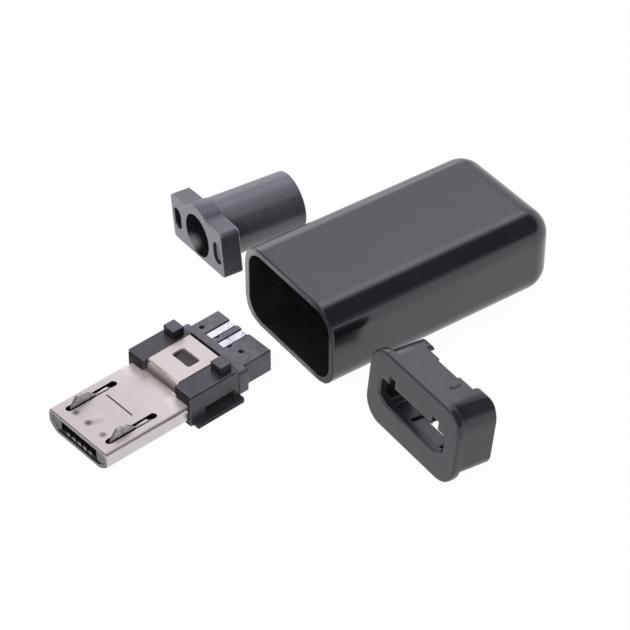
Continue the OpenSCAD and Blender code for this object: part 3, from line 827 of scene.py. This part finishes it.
def at_block_edge(p):
    """The side edges of the flange and block, and the block's upper rear edge."""
    return p.x > BEHIND_HOUSING and (abs(p.y) > 2.9 or p.x > 16 and p.z > 2)


def in_nose(c, _n):
    """In the nose, or in the front of the housing."""
    return c.x < 9


def on_block_top(c, n):
    return c.x > BEHIND_HOUSING and n.z > 0.9 and c.z > 2.2


def on_contact_tip(c, n):
    return c.x < 0.6 and n.x < -0.5


soften("contact_carrier", PLUG, "kit", block_black, housing_edge_painted_highlight,
       [dict(test=outside(at_block_edge), width=0.12, segments=3),
        dict(test=outside(anywhere), width=0.03, segments=1)],
       [(in_nose, black_tongue_and_painted_shade), (on_block_top, block_top)])
for i in range(1, CONTACT_COUNT + 1):
    soften(f"contact_{i}", PLUG, "kit", tin, tin,
           [dict(test=outside(anywhere), width=0.03, segments=2)],
           [(in_nose, contact_shade), (on_contact_tip, contact_tip_painted_shade)])


# Latches

def on_latch_flat(c, n):
    """The flat sides and the crest of the hook."""
    return abs(n.y) > 0.8 or c.z > 2.2


def on_latch_front(c, n):
    return c.x < 2 and n.x < -0.3


for side in ("left", "right"):
    soften(f"latch_{side}", PLUG, f"{side}_hook", spring_edge, spring_edge,
           [dict(test=outside(anywhere), width=0.04, segments=2)],
           [(on_latch_flat, spring), (on_latch_front, spring_front)])


# Floor

# Width of the floor in metres, and its depth below the pieces in millimetres
FLOOR_W = 3
FLOOR_DROP = 0.02
# Share of plain white in what the camera, metal and gloss see of the floor
FLOOR_WHITE = 0.97

bpy.ops.mesh.primitive_plane_add(size=FLOOR_W, location=(0, 0, -FLOOR_DROP * MM))
floor = bpy.context.object
floor.name = "floor"
ground = Shader("floor_white")
ground.set(Base_Color=(0.86, 0.86, 0.86, 1), Roughness=0.9, Specular_IOR_Level=0.1)
glow = ground.node("ShaderNodeEmission")
ground.put(1.0, glow.inputs["Strength"])
ray = ground.node("ShaderNodeLightPath").outputs
seen = ray["Is Camera Ray"]
for kind in ("Is Glossy Ray", "Is Transmission Ray"):
    seen = ground.math("ADD", seen, ray[kind], clamp=True)
over = ground.node("ShaderNodeMixShader")
ground.put(ground.times(seen, FLOOR_WHITE), over.inputs[0])
ground.put(ground.bsdf.outputs[0], over.inputs[1])
ground.put(glow.outputs[0], over.inputs[2])
ground.put(over.outputs[0], ground.tree.nodes["Material Output"].inputs["Surface"])
floor.data.materials.append(ground.mat)


# Light: a white tent with soft lamps and dark openings

TENT_LEVEL = 0.92
TENT_COLOUR = (0.99, 0.95, 1.06, 1)
# Each adds to the tent's level or takes from it: direction, angle in degrees
# to which it is full, angle at which it ends, and amount
LAMP_ABOVE = ("ADD", (0.44, 0.38, 0.81), 3, 22.5, 1.08)
OPENING_FRONT = ("SUBTRACT", (0.44, -0.45, 0.78), 33, 46, 0.78)
OPENING_LEFT = ("SUBTRACT", (-0.7, 0.62, 0.34), 8, 24, 0.72)
LAMP_BACK = ("ADD", (0.44, 0.83, 0.34), 4, 18, 1.0)
LAMP_LEFT = ("ADD", (-0.93, -0.3, 0.25), 10, 40, 1.0)

world = bpy.data.worlds.new("studio")
scene.world = world
world.use_nodes = True
tent = Tree(world.node_tree)
sky = tent.node("ShaderNodeTexCoord").outputs["Generated"]


def patch_of_sky(towards, inner, outer, amount):
    """The amount within the inner angle of a direction, falling to 0 at the outer angle."""
    near = tent.node("ShaderNodeVectorMath", operation="DOT_PRODUCT")
    tent.put(sky, near.inputs[0])
    tent.put(Vector(towards).normalized(), near.inputs[1])
    ends, full = (math.cos(math.radians(angle)) for angle in (outer, inner))
    return tent.ramp(near.outputs["Value"], ends, full, 0.0, amount)


level = TENT_LEVEL
for operation, *patch in (LAMP_ABOVE, OPENING_FRONT, OPENING_LEFT, LAMP_BACK, LAMP_LEFT):
    level = tent.math(operation, level, patch_of_sky(*patch))
# The camera itself sees plain white
strength = tent.node("ShaderNodeMix", data_type="FLOAT")
tent.put(tent.node("ShaderNodeLightPath").outputs["Is Camera Ray"], strength.inputs["Factor"])
tent.put(level, strength.inputs[2])
tent.put(1.0, strength.inputs[3])
background = world.node_tree.nodes["Background"]
tent.put(strength.outputs[0], background.inputs["Strength"])
tent.put(TENT_COLOUR, background.inputs["Color"])


# Camera, fitted to the photo

EYE = Vector((-94.09, -120.90, 129.4))
TARGET = Vector((-6.47, 2.44, 0.0))
# Focal length and width of the photo in pixels, and width of the sensor in millimetres
FOCAL_PX = 2567.2
PHOTO_PX = 630
SENSOR_W = 36.0

camera_data = bpy.data.cameras.new("camera")
camera = bpy.data.objects.new("camera", camera_data)
scene.collection.objects.link(camera)
camera.location = EYE * MM
camera.rotation_euler = (TARGET - EYE).to_track_quat("-Z", "Y").to_euler()
camera_data.sensor_width = SENSOR_W
camera_data.lens = FOCAL_PX / PHOTO_PX * SENSOR_W
camera_data.clip_start = 0.01
camera_data.clip_end = 10.0
scene.camera = camera
scene.view_settings.view_transform = "Standard"
